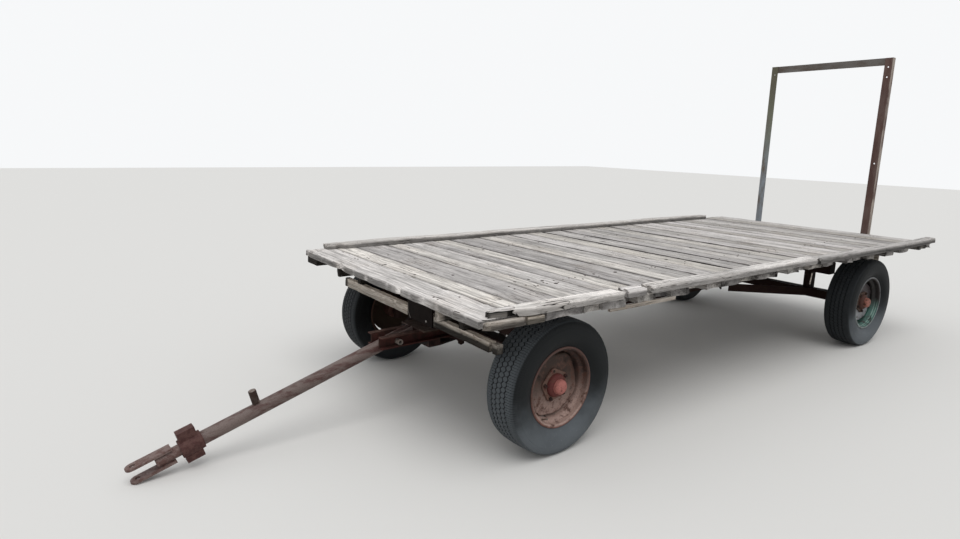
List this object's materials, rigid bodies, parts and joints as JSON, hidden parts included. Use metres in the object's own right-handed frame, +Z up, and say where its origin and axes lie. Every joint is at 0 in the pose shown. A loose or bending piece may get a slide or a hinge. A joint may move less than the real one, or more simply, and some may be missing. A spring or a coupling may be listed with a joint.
{
  "type": "hay wagon",
  "caption": "Weathered hay wagon with a plank deck, side rails, rusty disc wheels on worn tyres, a steered front axle, a hinged drawbar with a clevis and an open steel frame at the rear.",
  "frame": {"origin": "on the ground under the middle of the wagon's overall length and width", "axes": "+X forward along the wagon towards the drawbar's tip, +Y to the wagon's left, +Z up"},
  "size_m": [6.2346, 2.134, 2.408],
  "materials": {
    "plank_wood": "weathered silver grey, rough sawn",
    "frame_timber": "weathered, rough",
    "rail_timber": "weathered, splintered",
    "plate_steel": "dark brown, rusted",
    "gear_steel": "rusty, matt",
    "angle_steel": "rusty purple brown, matt",
    "pin_steel": "worn, dull",
    "drawbar_steel": "rust with worn red paint",
    "clevis_steel": "rusty grey brown, worn",
    "tyre_rubber": "dusty, aged",
    "wheel_paint": "faded red paint, rusted",
    "hub_paint": "faded red paint, rusted"
  },
  "bodies": {
    "wagon": {"deck_planks": "plank_wood", "edge_boards": "frame_timber", "corner_block": "frame_timber", "side_rail_left": "rail_timber", "side_rail_right": "rail_timber", "sill_left": "frame_timber", "sill_right": "frame_timber", "cross_beam_front": "frame_timber", "cross_beam_rear": "frame_timber", "front_plate": "plate_steel", "bolster_front": "gear_steel", "bolster_rear": "gear_steel", "axle_front": "gear_steel", "steer_pin": "pin_steel", "axle_rear": "gear_steel", "reach_pole": "gear_steel", "brace_front_left": "gear_steel", "brace_front_right": "gear_steel", "brace_rear_left": "gear_steel", "brace_rear_right": "gear_steel", "rear_post_left": "angle_steel", "rear_post_right": "angle_steel", "rear_top_bar": "angle_steel"},
    "knuckle_left": {"knuckle_left": "gear_steel"},
    "knuckle_right": {"knuckle_right": "gear_steel"},
    "tie_rod_left": {"tie_rod_left": "gear_steel"},
    "tie_rod_right": {"tie_rod_right": "gear_steel"},
    "yoke": {"drawbar_yoke": "drawbar_steel", "hinge_pin": "pin_steel"},
    "drawbar": {"drawbar_fork": "drawbar_steel", "drawbar_pipe": "drawbar_steel", "latch_collar": "clevis_steel", "clevis": "clevis_steel"},
    "wheel_front_left": {"tyre_front_left": "tyre_rubber", "rim_front_left": "wheel_paint", "hub_front_left": "hub_paint"},
    "wheel_front_right": {"tyre_front_right": "tyre_rubber", "rim_front_right": "wheel_paint", "hub_front_right": "hub_paint"},
    "wheel_rear_left": {"tyre_rear_left": "tyre_rubber", "rim_rear_left": "wheel_paint", "hub_rear_left": "hub_paint"},
    "wheel_rear_right": {"tyre_rear_right": "tyre_rubber", "rim_rear_right": "wheel_paint", "hub_rear_right": "hub_paint"}
  },
  "joints": [
    {"name": "drawbar_swing", "type": "hinge", "parent": "wagon", "child": "yoke", "pos_m": [1.35418, 0, 0.453], "axis": [0, 0, 1], "range_deg": [-31, 25]},
    {"name": "steer_left", "type": "hinge", "parent": "wagon", "child": "knuckle_left", "pos_m": [1.23918, 0.77, 0.455], "axis": [0, 0, 1], "range_deg": [-31, 25]},
    {"name": "steer_right", "type": "hinge", "parent": "wagon", "child": "knuckle_right", "pos_m": [1.23918, -0.77, 0.455], "axis": [0, 0, 1], "range_deg": [-31, 25]},
    {"name": "tie_rod_left_pivot", "type": "hinge", "parent": "yoke", "child": "tie_rod_left", "pos_m": [1.20438, -0.00785, 0.3635], "axis": [0, 0, 1], "range_deg": [-25, 31]},
    {"name": "tie_rod_right_pivot", "type": "hinge", "parent": "yoke", "child": "tie_rod_right", "pos_m": [1.20438, -0.00785, 0.3385], "axis": [0, 0, 1], "range_deg": [-25, 31]},
    {"name": "drawbar_lift", "type": "hinge", "parent": "yoke", "child": "drawbar", "pos_m": [1.7017, 0.01821, 0.446], "axis": [0.0523, -0.9986, 0], "range_deg": [0, 68]},
    {"name": "wheel_front_left_spin", "type": "hinge", "parent": "knuckle_left", "child": "wheel_front_left", "pos_m": [1.2342, 0.86487, 0.36], "axis": [-0.0523, 0.9986, 0], "continuous": true},
    {"name": "wheel_front_right_spin", "type": "hinge", "parent": "knuckle_right", "child": "wheel_front_right", "pos_m": [1.24415, -0.86487, 0.36], "axis": [-0.0523, 0.9986, 0], "continuous": true},
    {"name": "wheel_rear_left_spin", "type": "hinge", "parent": "wagon", "child": "wheel_rear_left", "pos_m": [-2.17982, 0.865, 0.36], "axis": [0, 1, 0], "continuous": true},
    {"name": "wheel_rear_right_spin", "type": "hinge", "parent": "wagon", "child": "wheel_rear_right", "pos_m": [-2.17982, -0.865, 0.36], "axis": [0, 1, 0], "continuous": true}
  ],
  "couplings": [
    {"joint": "steer_left", "follows": "drawbar_swing", "ratio": 1},
    {"joint": "steer_right", "follows": "drawbar_swing", "ratio": 1},
    {"joint": "tie_rod_left_pivot", "follows": "drawbar_swing", "ratio": -1},
    {"joint": "tie_rod_right_pivot", "follows": "drawbar_swing", "ratio": -1}
  ]
}
